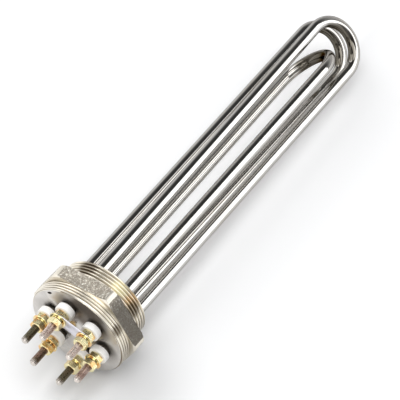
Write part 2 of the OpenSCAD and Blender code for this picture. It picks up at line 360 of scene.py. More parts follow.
def cast_finish(colors):
    """Sand-cast and plated flats with pits, grain and dull patches, and painted shade on the flats towards -Y."""
    f = Finish("cast_nickel")
    grain = f.noise(780.0, 5.0, 0.8)
    # Painted shade: the flats towards -Y are darker
    painted_side_shade = (-1 * f.parts()[1]).band(17 * MM, 26 * MM)
    patch = f.noise(110.0, 4.0, 0.6)
    pits = f.node("ShaderNodeTexVoronoi", inputs={0: f.place(), 2: 900.0}).band(0.05, 0.4)
    base = f.mix(patch.band(0.3, 0.7), shade(colors.cast, 0.85), shade(colors.cast, 1.3))
    base = f.mix(grain.band(0.42, 0.6), shade(colors.cast, 0.6), base)
    base = f.mix(grain.band(0.53, 0.64), base, shade(colors.cast, 2.2))
    base = f.mix((1 - pits) * 0.6, base, shade(colors.cast, 0.45))
    base = f.mix(painted_side_shade * 0.85, base, shade(colors.cast, 0.22))
    relief = grain + pits * 0.5 + patch * 0.4
    return f.surface(base, 0.42 + 0.2 * grain - 0.1 * patch, relief, 0.8, 0.45)


def face_finish(s, colors):
    """Face turned and polished, with faint rings and smears, and painted dark brown reflections round the
    terminals and in a patch above them.
    """
    f = Finish("polished_face")
    _, y, z = f.parts()
    radius = (y * y + z * z) ** 0.5
    rings = (radius * 9000.0).math("SINE")
    smear = f.noise(85.0, 4.0, 0.6, 0.8)
    off = (y.math("ARCTAN2", z) - s.pattern_turn).math("PINGPONG", LEG_STEP / 2)
    leg_r = s.leg_circle_d / 2
    gap = (radius * radius + leg_r * leg_r - 2 * leg_r * radius * off.math("COSINE")) ** 0.5
    # Painted dark reflections round the terminals, and a painted dark patch above them
    dark_reflection = (-1 * y).band(-20 * MM, 0.0, 0.25, 1.0) * z.band(-12 * MM, 4 * MM, 0.3, 1.0)
    dark_reflection = dark_reflection * (1 - (gap + 6 * MM * smear).band(10.5 * MM, 16.5 * MM))
    painted_dark = 1 - (f.away(DARK_REFLECTION_SPOT, (0, 1, 1)) + 8 * MM * smear).band(14 * MM, 23 * MM)
    dark_reflection = dark_reflection.math("MAXIMUM", painted_dark)
    base = f.mix(smear.band(0.35, 0.75), colors.face, shade(colors.face, 0.78))
    base = f.mix(dark_reflection * 0.92, base, PAINTED_DARK_REFLECTION)
    rim = radius.band(20 * MM, 27 * MM)
    rough = 0.07 + 0.12 * smear + 0.2 * dark_reflection + 0.22 * rim
    return f.surface(base, rough, rings * 0.5 + smear, 0.05, 0.2)


def bore_shade_finish():
    """Painted shade: dark brown walls of the counterbores and the slot."""
    f = Finish("bore_painted_shade")
    painted_dark = f.noise(420.0, 4.0, 0.6)
    return f.surface(f.mix(painted_dark.band(0.35, 0.7), BORE_SHADE_DEEP, BORE_SHADE_WALL), 0.4 + 0.3 * painted_dark)


def sheath_finish(colors):
    """Polished stainless tube with faint lines and heat tints, painted dark reflections in the bends and painted
    shade at the ends inside the plug.
    """
    f = Finish("polished_sheath", Specular_Tint=(0.22, 0.21, 0.2, 1))
    along = f.layer("straight", 1)
    lines = f.noise(1.0, at=f.place((9, 1500, 1500), at=along))
    bands = f.noise(1.0, at=f.place((38, 60, 60), at=along))
    # Painted shade: the tube ends inside the plug are dark
    painted_end_shade = 1 - f.parts()[0].band(-8 * MM, 4 * MM)
    base = f.mix(bands.band(0.4, 0.75) * 0.5, colors.sheath, HEAT_TINT)
    base = f.mix(lines.band(0.5, 0.8) * 0.3, base, shade(colors.sheath, 0.8))
    # Painted dark reflection inside the bends
    base = f.mix(f.layer("painted_bend_dark").band(0.0, 1.0) * (0.75 + 0.3 * bands), base, BEND_DARK_TONE)
    base = f.mix(painted_end_shade, base, TUBE_END_SHADE)
    return f.surface(base, 0.045 + 0.05 * lines + 0.04 * bands + 0.4 * painted_end_shade)


def ceramic_finish(colors):
    """Fired ceramic, slightly glossy, with specks and faint soiling."""
    f = Finish("fired_ceramic", 0.0)
    grain = f.noise(1500.0, 4.0, 0.6)
    soil = f.noise(210.0, 3.0).band(0.5, 0.78)
    specks = f.noise(2600.0, 2.0).band(0.68, 0.74)
    base = f.mix(soil * 0.15, colors.ceramic, shade(CERAMIC_SOIL, 0.85))
    base = f.mix(specks * 0.5, base, CERAMIC_SPECK)
    return f.surface(base, 0.34 + 0.2 * grain, grain, 0.25, 0.15)


def zinc_finish(colors, name, scale):
    """Yellow passivated zinc that runs from greenish gold to red."""
    f = Finish(name)
    hue = f.noise(scale, 2.0, 0.5, 0.6)
    grain = f.noise(1400.0, 3.0)
    base = f.mix(hue.band(0.48, 0.64), colors.zinc, colors.zinc_tint)
    base = f.mix((1 - hue).band(0.56, 0.75), base, ZINC_GREEN)
    base = f.mix(grain.band(0.55, 0.8) * 0.35, base, shade(colors.zinc, 0.6))
    return f.surface(base, 0.13 + 0.16 * grain, grain, 0.2, 0.1)


def stud_finish(s, colors):
    """Steel of the studs, from scorched olive to bare, with painted shade in the roots and a painted highlight at
    the tip.
    """
    f = Finish("stud_steel")
    wear = f.noise(230.0, 3.0)
    grain = f.noise(1800.0, 3.0)
    from_tip = f.parts()[0] - (face_at(s) - s.stud_reach)
    base = f.node("ShaderNodeValToRGB", {"stops": STUD_STOPS}, {0: f.layer("tint") + 0.7 * (wear - 0.5)})
    # Painted highlight: bare steel colour at the tip
    base = f.mix((1 - (from_tip + 3 * MM * wear).band(2 * MM, 5 * MM)) * 0.8, base, colors.stud)
    # Painted shade in the thread roots
    base = f.mix((1 - f.layer("crest")).band(0.1, 0.9) * 0.65, base, STUD_ROOT_SHADE)
    return f.surface(base, 0.18 + 0.2 * grain, grain, 0.2, 0.1)


def link_finish(colors):
    """Plated strip with rolling lines."""
    f = Finish("plated_link")
    lines = f.noise(1.0, 2.0, at=f.place((300, 300, 2600), (math.radians(30), 0, 0)))
    cloud = f.noise(190.0, 3.0)
    base = f.mix(cloud.band(0.35, 0.75), colors.link, shade(colors.link, 0.8))
    return f.surface(base, 0.22 + 0.12 * lines + 0.1 * cloud, lines, 0.12, 0.1)


def braze_finish(colors):
    """Brazing metal that has flowed round the tubes."""
    f = Finish("braze_metal")
    flow = f.noise(320.0, 4.0, 0.6, 0.5)
    base = f.mix(flow.band(0.35, 0.7), colors.braze, shade(colors.braze, 0.55))
    return f.surface(base, 0.3 + 0.25 * flow, flow, 0.5, 0.3)


def core_finish(name, base, metallic, scale):
    """Grainy stuff of the pieces inside the tubes."""
    f = Finish(name, metallic)
    grain = f.noise(scale, 4.0, 0.65)
    base = f.mix(grain.band(0.3, 0.75), base, shade(base, 0.7))
    return f.surface(base, 0.5 + 0.35 * grain, grain, 0.4, 0.2)


def linked(name, data):
    """An object for some data, in the scene."""
    made = bpy.data.objects.new(name, data)
    bpy.context.scene.collection.objects.link(made)
    return made


def as_mesh(name, bm):
    """A mesh of a bmesh, which is freed."""
    mesh = bpy.data.meshes.new(name)
    bm.to_mesh(mesh)
    bm.free()
    return mesh


def finished(name, bm, materials, nodes, sharp=35.0):
    """Turns a bmesh into a piece that stands for CAD nodes."""
    mesh = as_mesh(name, bm)
    for material in materials:
        mesh.materials.append(material)
    mesh.shade_smooth()
    mesh.set_sharp_from_angle(angle=math.radians(sharp))
    piece = linked(name, mesh)
    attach(piece, "root")
    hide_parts(*nodes)
    return piece


def weld(bm, distance=0.002 * MM):
    """Merges doubles and turns every face outward."""
    bmesh.ops.remove_doubles(bm, verts=bm.verts, dist=distance)
    bmesh.ops.recalc_face_normals(bm, faces=bm.faces)


def stood(bm, matrix):
    """The bmesh, moved to its place."""
    bmesh.ops.transform(bm, matrix=matrix, verts=bm.verts)
    return bm


def steep_edges(bm):
    """Edges at which two faces meet steeply."""
    return [e for e in bm.edges if e.calc_face_angle(0) > STEEP]


def eased(bm, edges, offset, segments):
    """Rounds edges off."""
    bmesh.ops.bevel(bm, geom=edges, offset=offset, segments=segments, profile=0.5, affect="EDGES", material=-1)


def take_in(bm, other):
    """Moves the contents of another bmesh into this one."""
    mesh = as_mesh("passing", other)
    bm.from_mesh(mesh)
    bpy.data.meshes.remove(mesh)


def gathered(meshes):
    """Several bmeshes in one."""
    bm = bmesh.new()
    for other in meshes:
        take_in(bm, other)
    return bm


def at_leg(s, index):
    """Where a terminal stands: along X, at its place round the plug."""
    turn = -s.pattern_turn - math.radians(LEG_ANGLES[index])
    return Matrix.Rotation(turn, 4, "X") @ Matrix.Translation((0, 0, s.leg_circle_d / 2))


def ring(bm, x, radius, segments, matrix=Matrix.Identity(4)):
    """A circle round the X axis at x, as its edges."""
    stand = matrix @ Matrix.Translation((x, 0, 0)) @ Matrix.Rotation(math.pi / 2, 4, "Y")
    made = bmesh.ops.create_circle(bm, cap_ends=False, segments=segments, radius=radius, matrix=stand)
    return list({e for v in made["verts"] for e in v.link_edges})


def drawn_on(bm, edges, along=0.0):
    """Extrudes a loop of edges along X and returns the new loop's edges and vertices."""
    made = bmesh.ops.extrude_edge_only(bm, edges=edges)["geom"]
    verts = [g for g in made if isinstance(g, bmesh.types.BMVert)]
    fresh = set(verts)
    loop = [g for g in made if isinstance(g, bmesh.types.BMEdge) and set(g.verts) <= fresh]
    bmesh.ops.translate(bm, vec=(along, 0, 0), verts=verts)
    return loop, verts


def spun(bm, profile, steps, closed=True, turn=math.tau, rise=0.0):
    """Spins a profile of places along X and radii round the X axis, with a rise along it."""
    verts = [bm.verts.new((x, 0, r)) for x, r in profile]
    pairs = [*zip(verts, verts[1:]), *([(verts[-1], verts[0])] if closed else [])]
    edges = [bm.edges.new(pair) for pair in pairs]
    bmesh.ops.spin(bm, geom=[*verts, *edges], cent=(0, 0, 0), axis=(1, 0, 0), dvec=(rise / steps, 0, 0),
                   angle=turn, steps=steps, use_merge=not rise)


# One pitch of a thread, as shares of the pitch and of the depth above the root
THREAD_FORM = ((0.0, 0.0), (0.09, 0.05), (0.33, 0.93), (0.5, 1.0), (0.67, 0.93), (0.91, 0.05))


def screw_thread(x0, x1, crest_r, pitch, depth, steps, drop0=0.0, drop1=0.0):
    """A right-handed thread from x0 to x1, cut square at both ends and chamfered there by a drop in radius."""
    bm = bmesh.new()
    turns = math.ceil((x1 - x0) / pitch) + 1
    profile = [(x0 + (turn + share) * pitch, crest_r - depth * (1 - height))
               for turn in range(-2, turns) for share, height in THREAD_FORM]
    spun(bm, profile, steps, closed=False, rise=pitch)
    bmesh.ops.remove_doubles(bm, verts=bm.verts, dist=0.004 * pitch)
    for x, way in ((x0, -1), (x1, 1)):
        bmesh.ops.bisect_plane(bm, geom=[*bm.verts, *bm.edges, *bm.faces], dist=1e-7,
                               plane_co=(x, 0, 0), plane_no=(way, 0, 0), clear_outer=True)
    for v in bm.verts:
        radius = math.hypot(v.co.y, v.co.z)
        limit = min(crest_r - drop0 + v.co.x - x0, crest_r - drop1 + x1 - v.co.x)
        if radius > limit:
            v.co.yz *= limit / radius
    return bm


def open_loops(bm, x):
    """Edges with one face that lie in the plane at x."""
    return [e for e in bm.edges if e.is_boundary and all(abs(v.co.x - x) < PLANE_GAP for v in e.verts)]


def fill_flat(bm, x, more=(), material=0):
    """Fills the plane at x between its open loops and further loops."""
    edges = [*open_loops(bm, x), *more]
    made = bmesh.ops.triangle_fill(bm, use_beauty=True, use_dissolve=False, edges=edges)
    for g in made["geom"]:
        if isinstance(g, bmesh.types.BMFace):
            g.material_index = material


def hex_radius(beta, af, corner_r):
    """Distance of a turned-down hexagon's outline from its axis at an angle from the upright."""
    off = (beta + math.pi / 6) % (math.pi / 3) - math.pi / 6
    ease = HEX_EASE * af
    return corner_r - ease * math.log1p(math.exp((corner_r - af / 2 / math.cos(off)) / ease))


def hex_shell(bm, x0, x1, af, corner_r, chamfer, per_flat, rows):
    """The side of a hexagon along X, flat upward, with corners turned down and chamfered at both ends."""
    meet = math.acos(af / 2 / corner_r)
    places = [-math.pi / 6] + [meet * (2 * k / per_flat - 1) for k in range(per_flat + 1)]
    made = bmesh.ops.create_circle(bm, cap_ends=False, segments=6 * len(places), radius=corner_r)
    rim_r = corner_r - CHAMFER_FALL * chamfer

    def stand(v, beta, share, at_rim):
        out = hex_radius(beta, af, corner_r)
        drop = max(0.0, out - rim_r) / CHAMFER_FALL
        radius = min(out, rim_r) if at_rim else out
        inset = 0.0 if at_rim else drop
        x = x0 + inset + (x1 - x0 - 2 * inset) * share
        v.co = (x, radius * math.sin(beta), radius * math.cos(beta))

    for i, v in enumerate(made["verts"]):
        sector, k = divmod(i, len(places))
        stand(v, sector * math.pi / 3 + places[k], 0.0, True)
    loop = list({e for v in made["verts"] for e in v.link_edges})
    for k in range(rows + 2):
        loop, verts = drawn_on(bm, loop)
        for v in verts:
            stand(v, math.atan2(v.co.y, v.co.z), min(k, rows) / rows, k > rows)
    bmesh.ops.remove_doubles(bm, verts=bm.verts, dist=0.001 * MM)


def build_plug(s):
    """The plug in one shell: hexagon, collar thread, tank thread, face, counterbores and bores."""
    cast, turned, face, bore = 0, 1, 2, 3
    face_x, end_x = face_at(s), s.tank_thread_len
    bm = bmesh.new()
    hex_shell(bm, -s.hex_t, 0.0, s.hex_af, s.hex_corner_d / 2, s.plug_chamfer, per_flat=44, rows=16)
    for f in bm.faces:
        middle = f.calc_center_median()
        beta = math.degrees(math.atan2(middle.y, middle.z))
        flat = abs((beta + 30) % 60 - 30) < CAST_SPREAD and abs(f.normal.x) < 0.2
        f.material_index = cast if flat else turned
    for v in bm.verts:
        if all(f.material_index == cast for f in v.link_faces) and not v.is_boundary:
            out = Vector((0, v.co.y, v.co.z)).normalized()
            lump = noise.fractal(v.co * CAST_LUMPS, 0.6, 2.0, 4) + 0.6 * noise.noise(v.co * CAST_WAVES)
            v.co -= out * s.cast_relief * clamp(0.5 + 0.5 * lump)
    cover_thread = screw_thread(face_x, -s.hex_t, s.collar_d / 2, s.cover_pitch, s.cover_depth, PLUG_STEPS,
                                drop0=s.plug_chamfer)
    tank_thread = screw_thread(0.0, end_x, s.tank_thread_d / 2, s.tank_pitch, s.tank_depth, PLUG_STEPS,
                               drop1=s.plug_chamfer)
    threads = gathered((cover_thread, tank_thread))
    for f in threads.faces:
        f.material_index = turned
    take_in(bm, threads)
    fill_flat(bm, -s.hex_t, material=turned)
    fill_flat(bm, 0.0, material=turned)
    mouth_r, bore_r = s.counterbore_d / 2, s.tube_d / 2 + BORE_GAP
    mouths = [ring(bm, face_x, mouth_r, BORE_FACETS, at_leg(s, i)) for i in LEGS]
    backs = [e for i in LEGS for e in ring(bm, end_x, bore_r, BORE_FACETS, at_leg(s, i))]
    slot_r = s.collar_d / 2 - s.plug_chamfer - 1.2 * s.slot_w
    slot = (Matrix.Rotation(-s.slot_turn, 4, "X") @ Matrix.Translation((face_x, 0, slot_r))
            @ Matrix.Diagonal((1, s.slot_len, s.slot_w, 1)))
    oval = ring(bm, 0.0, 0.5, SLOT_FACETS, slot)
    fill_flat(bm, face_x, sum(mouths, oval), face)
    fill_flat(bm, end_x, backs, turned)
    outside = set(bm.faces)
    for i, loop in enumerate(mouths):
        axis = at_leg(s, i).translation
        loop, _ = drawn_on(bm, loop, s.counterbore_depth)
        loop, verts = drawn_on(bm, loop)
        narrow = bore_r / mouth_r
        bmesh.ops.scale(bm, vec=(1, narrow, narrow), space=Matrix.Translation(-axis), verts=verts)
        drawn_on(bm, loop, end_x - face_x - s.counterbore_depth)
    bmesh.ops.edgeloop_fill(bm, edges=drawn_on(bm, oval, s.slot_w)[0])
    for f in set(bm.faces) - outside:
        f.material_index = bore
    weld(bm)
    crest = bm.verts.layers.float.new("crest")
    for v in bm.verts:
        radius, tank = v.co.yz.length, v.co.x > 0
        down = (s.tank_thread_d if tank else s.collar_d) / 2 - radius
        deep = s.tank_depth if tank else s.cover_depth
        v[crest] = 1 - down / deep if 0 < down < 1.02 * deep and face_x < v.co.x < end_x else 1.0
    reach = s.leg_circle_d / 2 + mouth_r + 0.1 * MM
    rims = [e for e in bm.edges
            if all(abs(v.co.x - face_x) < PLANE_GAP and v.co.yz.length < reach for v in e.verts)
            and any(abs(f.normal.x) < 0.1 for f in e.link_faces)]
    eased(bm, rims, MOUTH_EASE, 2)
    return bm


def hairpin_shapes(s):
    """The hairpins: turn of the loop, distance of its plane, half width, bend radius, reach, set and lean."""
    radius = s.leg_circle_d / 2
    half, off = radius * math.sin(LEG_STEP), radius * math.cos(LEG_STEP)
    return (
        (30, off, half, s.side_bend_r, s.side_reach, s.set_1, 0.0),
        (30, -off, half, s.side_bend_r, s.side_reach + s.second_long, s.set_2, 0.0),
        (120, 0.0, radius, s.cross_bend_r, s.side_reach - s.cross_short, s.set_3, s.cross_lean),
    )


def leg_turn(half, bend_r, offset, run):
    """Angle by which a leg turns out so that it meets the bend as a tangent, and the leg's length."""
    gap = half - offset
    return (math.asin(bend_r / math.hypot(run, gap)) - math.atan2(gap, run),
            math.sqrt(run * run + gap * gap - bend_r * bend_r))


def build_hairpin(s, shape):
    """A tube drawn along a leg, round the bend and back, with layers for its straight length and its painted dark
    reflection in the bend.
    """
    turn, off, half, bend_r, reach, offset, lean = shape
    radius, start_x = s.tube_d / 2, face_at(s) - s.tube_stand
    turn_x = s.tank_thread_len + s.leg_turn_off
    bend_x = reach - radius - bend_r
    out_1, len_1 = leg_turn(half, bend_r, offset, bend_x - turn_x)
    out_2, len_2 = leg_turn(half, bend_r, -offset, bend_x - turn_x)
    bm = bmesh.new()
    straight = bm.verts.layers.float_vector.new("straight")
    # Painted dark reflection inside the bend, set on each vertex
    painted_bend_dark = bm.verts.layers.float.new("painted_bend_dark")
    bend_dark_start, bend_dark_edge = CROSS_BEND_DARK if lean else SIDE_BEND_DARK
    loop = ring(bm, start_x, radius, HOLE_FACETS, Matrix.Translation((0, half, 0)))
    for v in bm.verts:
        v[straight] = (0, v.co.y - half, v.co.z)
    done = 0.0

    def draw(loop, step, heading, pieces):
        nonlocal done
        way = Vector((math.cos(heading), math.sin(heading), 0)) * step / pieces
        for _ in range(pieces):
            loop, verts = drawn_on(bm, loop)
            done += step / pieces
            bmesh.ops.translate(bm, vec=way, verts=verts)
            for v in verts:
                v[straight].x = done
        return loop

    def swing(loop, angle_by):
        verts = list({v for e in loop for v in e.verts})
        middle = sum((v.co for v in verts), Vector()) / len(verts)
        bmesh.ops.rotate(bm, cent=middle, matrix=Matrix.Rotation(angle_by, 3, "Z"), verts=verts)
        return loop

    loop = draw(loop, turn_x - start_x, 0.0, STUB_STEPS)
    loop = swing(loop, out_1)
    loop = draw(loop, len_1, out_1, RUN_STEPS)
    centre, sweep = Vector((bend_x, offset, 0)), math.pi + out_1 + out_2
    onward = Matrix.Rotation(-sweep / BEND_STEPS, 3, "Z")
    for step in range(BEND_STEPS):
        loop, verts = drawn_on(bm, loop)
        done += bend_r * sweep / BEND_STEPS
        from_end = min(step, BEND_STEPS - 1 - step) / BEND_STEPS
        deep = clamp((from_end - bend_dark_start) / BEND_DARK_GROWTH)
        bmesh.ops.rotate(bm, cent=centre, matrix=onward, verts=verts)
        for v in verts:
            v[straight].x = done
            v[painted_bend_dark] = deep * clamp((-v[straight].y / radius - bend_dark_edge) / BEND_DARK_FADE)
    loop = draw(loop, len_2, math.pi - out_2, RUN_STEPS)
    loop = swing(loop, out_2)
    draw(loop, turn_x - start_x, math.pi, STUB_STEPS)
    for v in bm.verts:
        v.co.z -= math.tan(lean) * max(0.0, v.co.x - turn_x)
    aside = Matrix.Translation((0, 0, off))
    stood(bm, Matrix.Rotation(math.radians(90 - turn) - s.pattern_turn, 4, "X") @ aside)
    weld(bm)
    return bm


def build_stud(s, index):
    """A threaded stud with a coned tip, its plain shank in the insulator and its pin in the tube."""
    face_x = face_at(s)
    tip_x, shank_x = face_x - s.stud_reach, face_x - s.tube_stand - s.insulator_t
    spigot_x, pin_x = face_x - s.tube_stand + s.spigot_len, s.tank_thread_len + s.leg_turn_off - s.tube_d / 4
    radius = s.stud_d / 2
    bm = screw_thread(tip_x, shank_x, radius, s.stud_pitch, STUD_DEPTH, STUD_STEPS, drop0=STUD_CONE)
    crest = bm.verts.layers.float.new("crest")
    for v in bm.verts:
        v[crest] = 1.0 if v.co.x < tip_x + s.stud_pitch else 1 - (radius - v.co.yz.length) / STUD_DEPTH
    tint = bm.verts.layers.float.new("tint")
    fill_flat(bm, tip_x)
    loop = open_loops(bm, shank_x)
    for x, r in ((shank_x, radius), (spigot_x, radius), (spigot_x, s.pin_d / 2), (pin_x, s.pin_d / 2)):
        loop, verts = drawn_on(bm, loop)
        for v in verts:
            v.co = (x, *(Vector((v.co.y, v.co.z)).normalized() * r))
    fill_flat(bm, pin_x)
    weld(bm)
    for v in bm.verts:
        v[tint] = STUD_TINTS[index]
    return stood(bm, at_leg(s, index))


def build_insulator(s, index):
    """A ceramic bush with rounded edges and a spigot."""
    end_x = face_at(s) - s.tube_stand
    tip_x, spigot_x = end_x - s.insulator_t, end_x + s.spigot_len
    bore, outer = s.stud_d / 2 + BORE_GAP, s.insulator_d / 2
    spigot = s.tube_d / 2 - s.tube_wall - BORE_GAP
    bm = bmesh.new()
    profile = ((tip_x, bore), (tip_x, outer), (end_x, outer),
               (end_x, spigot), (spigot_x, spigot), (spigot_x, bore))
    spun(bm, profile, BUSH_FACETS)
    weld(bm)
    rims = [e for e in steep_edges(bm) if abs(e.verts[0].co.yz.length - outer) < 0.01 * MM]
    eased(bm, rims, BUSH_EASE, 4)
    for v in bm.verts:
        if v.co.yz.length > 0.8 * outer:
            v.co.yz *= 1 - 0.012 * (1 + noise.noise(v.co * 420 + Vector((0, 0, 7.0 * index))))
    return stood(bm, at_leg(s, index))


def build_nut(s, index, x0, turn):
    """A hexagon nut with both faces chamfered, turned by some degrees."""
    x1, corner_r, bore = x0 + s.nut_t, s.nut_af / 2 / math.cos(math.pi / 6), s.stud_d / 2 + BORE_GAP
    bm = bmesh.new()
    hex_shell(bm, x0, x1, s.nut_af, corner_r - NUT_TRIM, s.nut_af * NUT_CHAMFER, per_flat=12, rows=3)
    rear, front = (ring(bm, x, bore + NUT_LEAD, HOLE_FACETS) for x in (x1, x0))
    fill_flat(bm, x1, rear)
    fill_flat(bm, x0, front)
    for x, way, loop in ((x0, 1, front), (x1, -1, rear)):
        loop, verts = drawn_on(bm, loop)
        for v in verts:
            v.co = (x + way * NUT_LEAD, *(v.co.yz.normalized() * bore))
        if way > 0:
            drawn_on(bm, loop, x1 - x0 - 2 * NUT_LEAD)
    weld(bm)
    return stood(bm, at_leg(s, index) @ Matrix.Rotation(math.radians(turn), 4, "X"))


def build_washer(s, index, x0):
    """A stamped washer with soft edges."""
    bm = bmesh.new()
    x1, inner, outer = x0 + s.washer_t, s.stud_d / 2 + HOLE_GAP, s.washer_d / 2
    spun(bm, ((x0, inner), (x0, outer), (x1, outer), (x1, inner)), WASHER_FACETS)
    weld(bm)
    eased(bm, steep_edges(bm), WASHER_EASE, 2)
    return stood(bm, at_leg(s, index))


def build_spring(s, index, x0):
    """A split washer wound to a slight helix, with its two ends apart."""
    bm = bmesh.new()
    rise = SPRING_RISE * s.spring_t
    x1, inner, outer = x0 + s.spring_t - rise, s.stud_d / 2 + HOLE_GAP, s.spring_d / 2
    profile = ((x0, inner), (x0, outer), (x1, outer), (x1, inner))
    spun(bm, profile, SPRING_STEPS, turn=SPRING_SWEEP, rise=rise)
    bmesh.ops.holes_fill(bm, edges=bm.edges, sides=4)
    weld(bm)
    return stood(bm, at_leg(s, index) @ Matrix.Rotation(math.radians(75 * index + 6), 4, "X"))


def build_link(s, x0):
    """A strip with round ends and two holes, joining two neighbouring terminals."""
    middle = math.radians((LEG_ANGLES[LINKED[0]] + LEG_ANGLES[LINKED[1]]) / 2)
    half, hole_r = s.leg_circle_d / 2 * math.sin(LEG_STEP / 2), s.stud_d / 2 + HOLE_GAP
    bm = bmesh.new()
    edges = ring(bm, x0, s.link_w / 2, BUSH_FACETS)
    for v in bm.verts:
        v.co.y += math.copysign(half, v.co.y)
    for place in (-half, half):
        edges += ring(bm, x0, hole_r, HOLE_FACETS, Matrix.Translation((0, place, 0)))
    fill_flat(bm, x0, edges)
    made = bmesh.ops.extrude_face_region(bm, geom=bm.faces[:])["geom"]
    bmesh.ops.translate(bm, vec=(s.link_t, 0, 0), verts=[g for g in made if isinstance(g, bmesh.types.BMVert)])
    weld(bm)
    eased(bm, steep_edges(bm), LINK_EASE, 3)
    out = Matrix.Translation((0, 0, s.leg_circle_d / 2 * math.cos(LEG_STEP / 2)))
    return stood(bm, Matrix.Rotation(-s.pattern_turn - middle, 4, "X") @ out)


def build_fillet(s, index):
    """A hollow-faced ring of brazing metal round a tube."""
    bm = bmesh.new()
    x, tube, h = s.tank_thread_len, s.tube_d / 2, s.braze_h
    curve = [(x + h * (1 - math.sin(t)), tube + h * (1 - math.cos(t)))
             for t in (math.pi / 2 * k / 6 for k in range(7))]
    spun(bm, [*curve, (x, tube)], BORE_FACETS)
    weld(bm, 0.001 * MM)
    return stood(bm, at_leg(s, index))


def stack_places(s, index):
    """Where a terminal's lower nut, link, washer, spring washer and upper nut lie, each by its outer end."""
    nut = face_at(s) - s.tube_stand - s.insulator_t - s.nut_t
    washer = nut - (s.link_t if index in LINKED else 0.0) - s.washer_t
    return {"lower": nut, "link": nut - s.link_t, "washer": washer, "spring": washer - s.spring_t,
            "upper": washer - s.spring_t - s.nut_t}


class HeaterOperator(bpy.types.Operator):
    """Common ground of the heater's operators."""
    bl_options = {"REGISTER", "UNDO"}

    @property
    def sizes(self):
        """The sizes that are set in the scene."""
        return bpy.context.scene.heater_sizes

    @property
    def colors(self):
        """The colours that are set in the scene."""
        return bpy.context.scene.heater_finishes

    def one_each(self, name, build, material, node):
        """Makes one piece on each leg."""
        for i, leg in enumerate(LEG_NAMES):
            finished(f"{name}_{leg}", build(self.sizes, i), [material], [f"{node}_{leg}"])


class HEATER_OT_plug(HeaterOperator):
    """Makes the threaded hexagon plug."""
    bl_idname = "heater.plug"
    bl_label = "Plug"

    def execute(self, context):
        materials = (cast_finish(self.colors), turned_finish(self.colors),
                     face_finish(self.sizes, self.colors), bore_shade_finish())
        finished("plug", build_plug(self.sizes), materials, ["plug_body"], sharp=30.0)
        return {"FINISHED"}


class HEATER_OT_hairpins(HeaterOperator):
    """Makes the three bent tubes."""
    bl_idname = "heater.hairpins"
    bl_label = "Hairpins"

    def execute(self, context):
        material = sheath_finish(self.colors)
        for i, shape in enumerate(hairpin_shapes(self.sizes), 1):
            bm = build_hairpin(self.sizes, shape)
            piece = finished(f"hairpin_{i}", bm, [material], [f"element_sheath_{i}"])
            wall = piece.modifiers.new("wall", "SOLIDIFY")
            wall.thickness = self.sizes.tube_wall
            wall.offset = -1
        return {"FINISHED"}


class HEATER_OT_fillets(HeaterOperator):
    """Makes the rings of brazing metal behind the plug."""
    bl_idname = "heater.fillets"
    bl_label = "Braze fillets"

    def execute(self, context):
        bm = gathered(build_fillet(self.sizes, i) for i in LEGS)
        finished("fillets", bm, [braze_finish(self.colors)], ["braze_fillets"])
        return {"FINISHED"}


class HEATER_OT_studs(HeaterOperator):
    """Makes the threaded studs."""
    bl_idname = "heater.studs"
    bl_label = "Studs"

    def execute(self, context):
        self.one_each("stud", build_stud, stud_finish(self.sizes, self.colors), "terminal_pin")
        return {"FINISHED"}


class HEATER_OT_insulators(HeaterOperator):
    """Makes the ceramic bushes."""
    bl_idname = "heater.insulators"
    bl_label = "Insulators"

    def execute(self, context):
        self.one_each("insulator", build_insulator, ceramic_finish(self.colors), "ceramic_insulator")
        return {"FINISHED"}


class HEATER_OT_nuts(HeaterOperator):
    """Makes the lower and the upper nuts."""
    bl_idname = "heater.nuts"
    bl_label = "Nuts"

    def execute(self, context):
        s = self.sizes
        material = zinc_finish(self.colors, "zinc_nuts", scale=190.0)
        for row, first, step in (("lower", 0, 25), ("upper", 10, 35)):
            bm = gathered(build_nut(s, i, stack_places(s, i)[row], first + step * i) for i in LEGS)
            finished(f"{row}_nut_set", bm, [material], [f"{row}_nuts"], sharp=25.0)
        return {"FINISHED"}


class HEATER_OT_washers(HeaterOperator):
    """Makes the plain and the spring washers."""
    bl_idname = "heater.washers"
    bl_label = "Washers"

    def execute(self, context):
        s = self.sizes
        material = zinc_finish(self.colors, "zinc_washers", scale=150.0)
        for row, kind, build in (("washer", "plain", build_washer), ("spring", "spring", build_spring)):
            bm = gathered(build(s, i, stack_places(s, i)[row]) for i in LEGS)
            finished(f"{row}_set", bm, [material], [f"{kind}_washers"])
        return {"FINISHED"}


class HEATER_OT_link(HeaterOperator):
    """Makes the strip that joins two terminals."""
    bl_idname = "heater.link"
    bl_label = "Link"

    def execute(self, context):
        bm = build_link(self.sizes, stack_places(self.sizes, LINKED[0])["link"])
        finished("link", bm, [link_finish(self.colors)], ["link_strip"])
        return {"FINISHED"}


class HEATER_OT_cores(HeaterOperator):
    """Gives the pieces inside the tubes their finishes."""
    bl_idname = "heater.cores"
    bl_label = "Cores"

    def execute(self, context):
        finishes = {
            "magnesia_fill": core_finish("pressed_magnesia", (0.86, 0.85, 0.8), 0.0, 900.0),
            "heating_coil": core_finish("resistance_wire", (0.42, 0.4, 0.38), 1.0, 1200.0),
            "end_seal": core_finish("seal_resin", (0.36, 0.25, 0.16), 0.0, 700.0),
        }
        for name, node in frame["nodes"].items():
            material = finishes.get(name.rsplit("_", 1)[0])
            if material:
                node.data.materials.clear()
                node.data.materials.append(material)
        return {"FINISHED"}


# Camera, found from the photographed hexagon, rims and tubes: distances in metres, focus in picture widths
CAMERA_AZIMUTH, CAMERA_ELEVATION, CAMERA_ROLL = (math.radians(a) for a in (36.884, 49.932, -3.285))
CAMERA_TARGET = Vector((0.1, 0.0, 0.0))
CAMERA_DISTANCE, CAMERA_RIGHT, CAMERA_UP = 1.699732, 0.009379, 0.003517
CAMERA_FOCUS = 2679.128 / 400
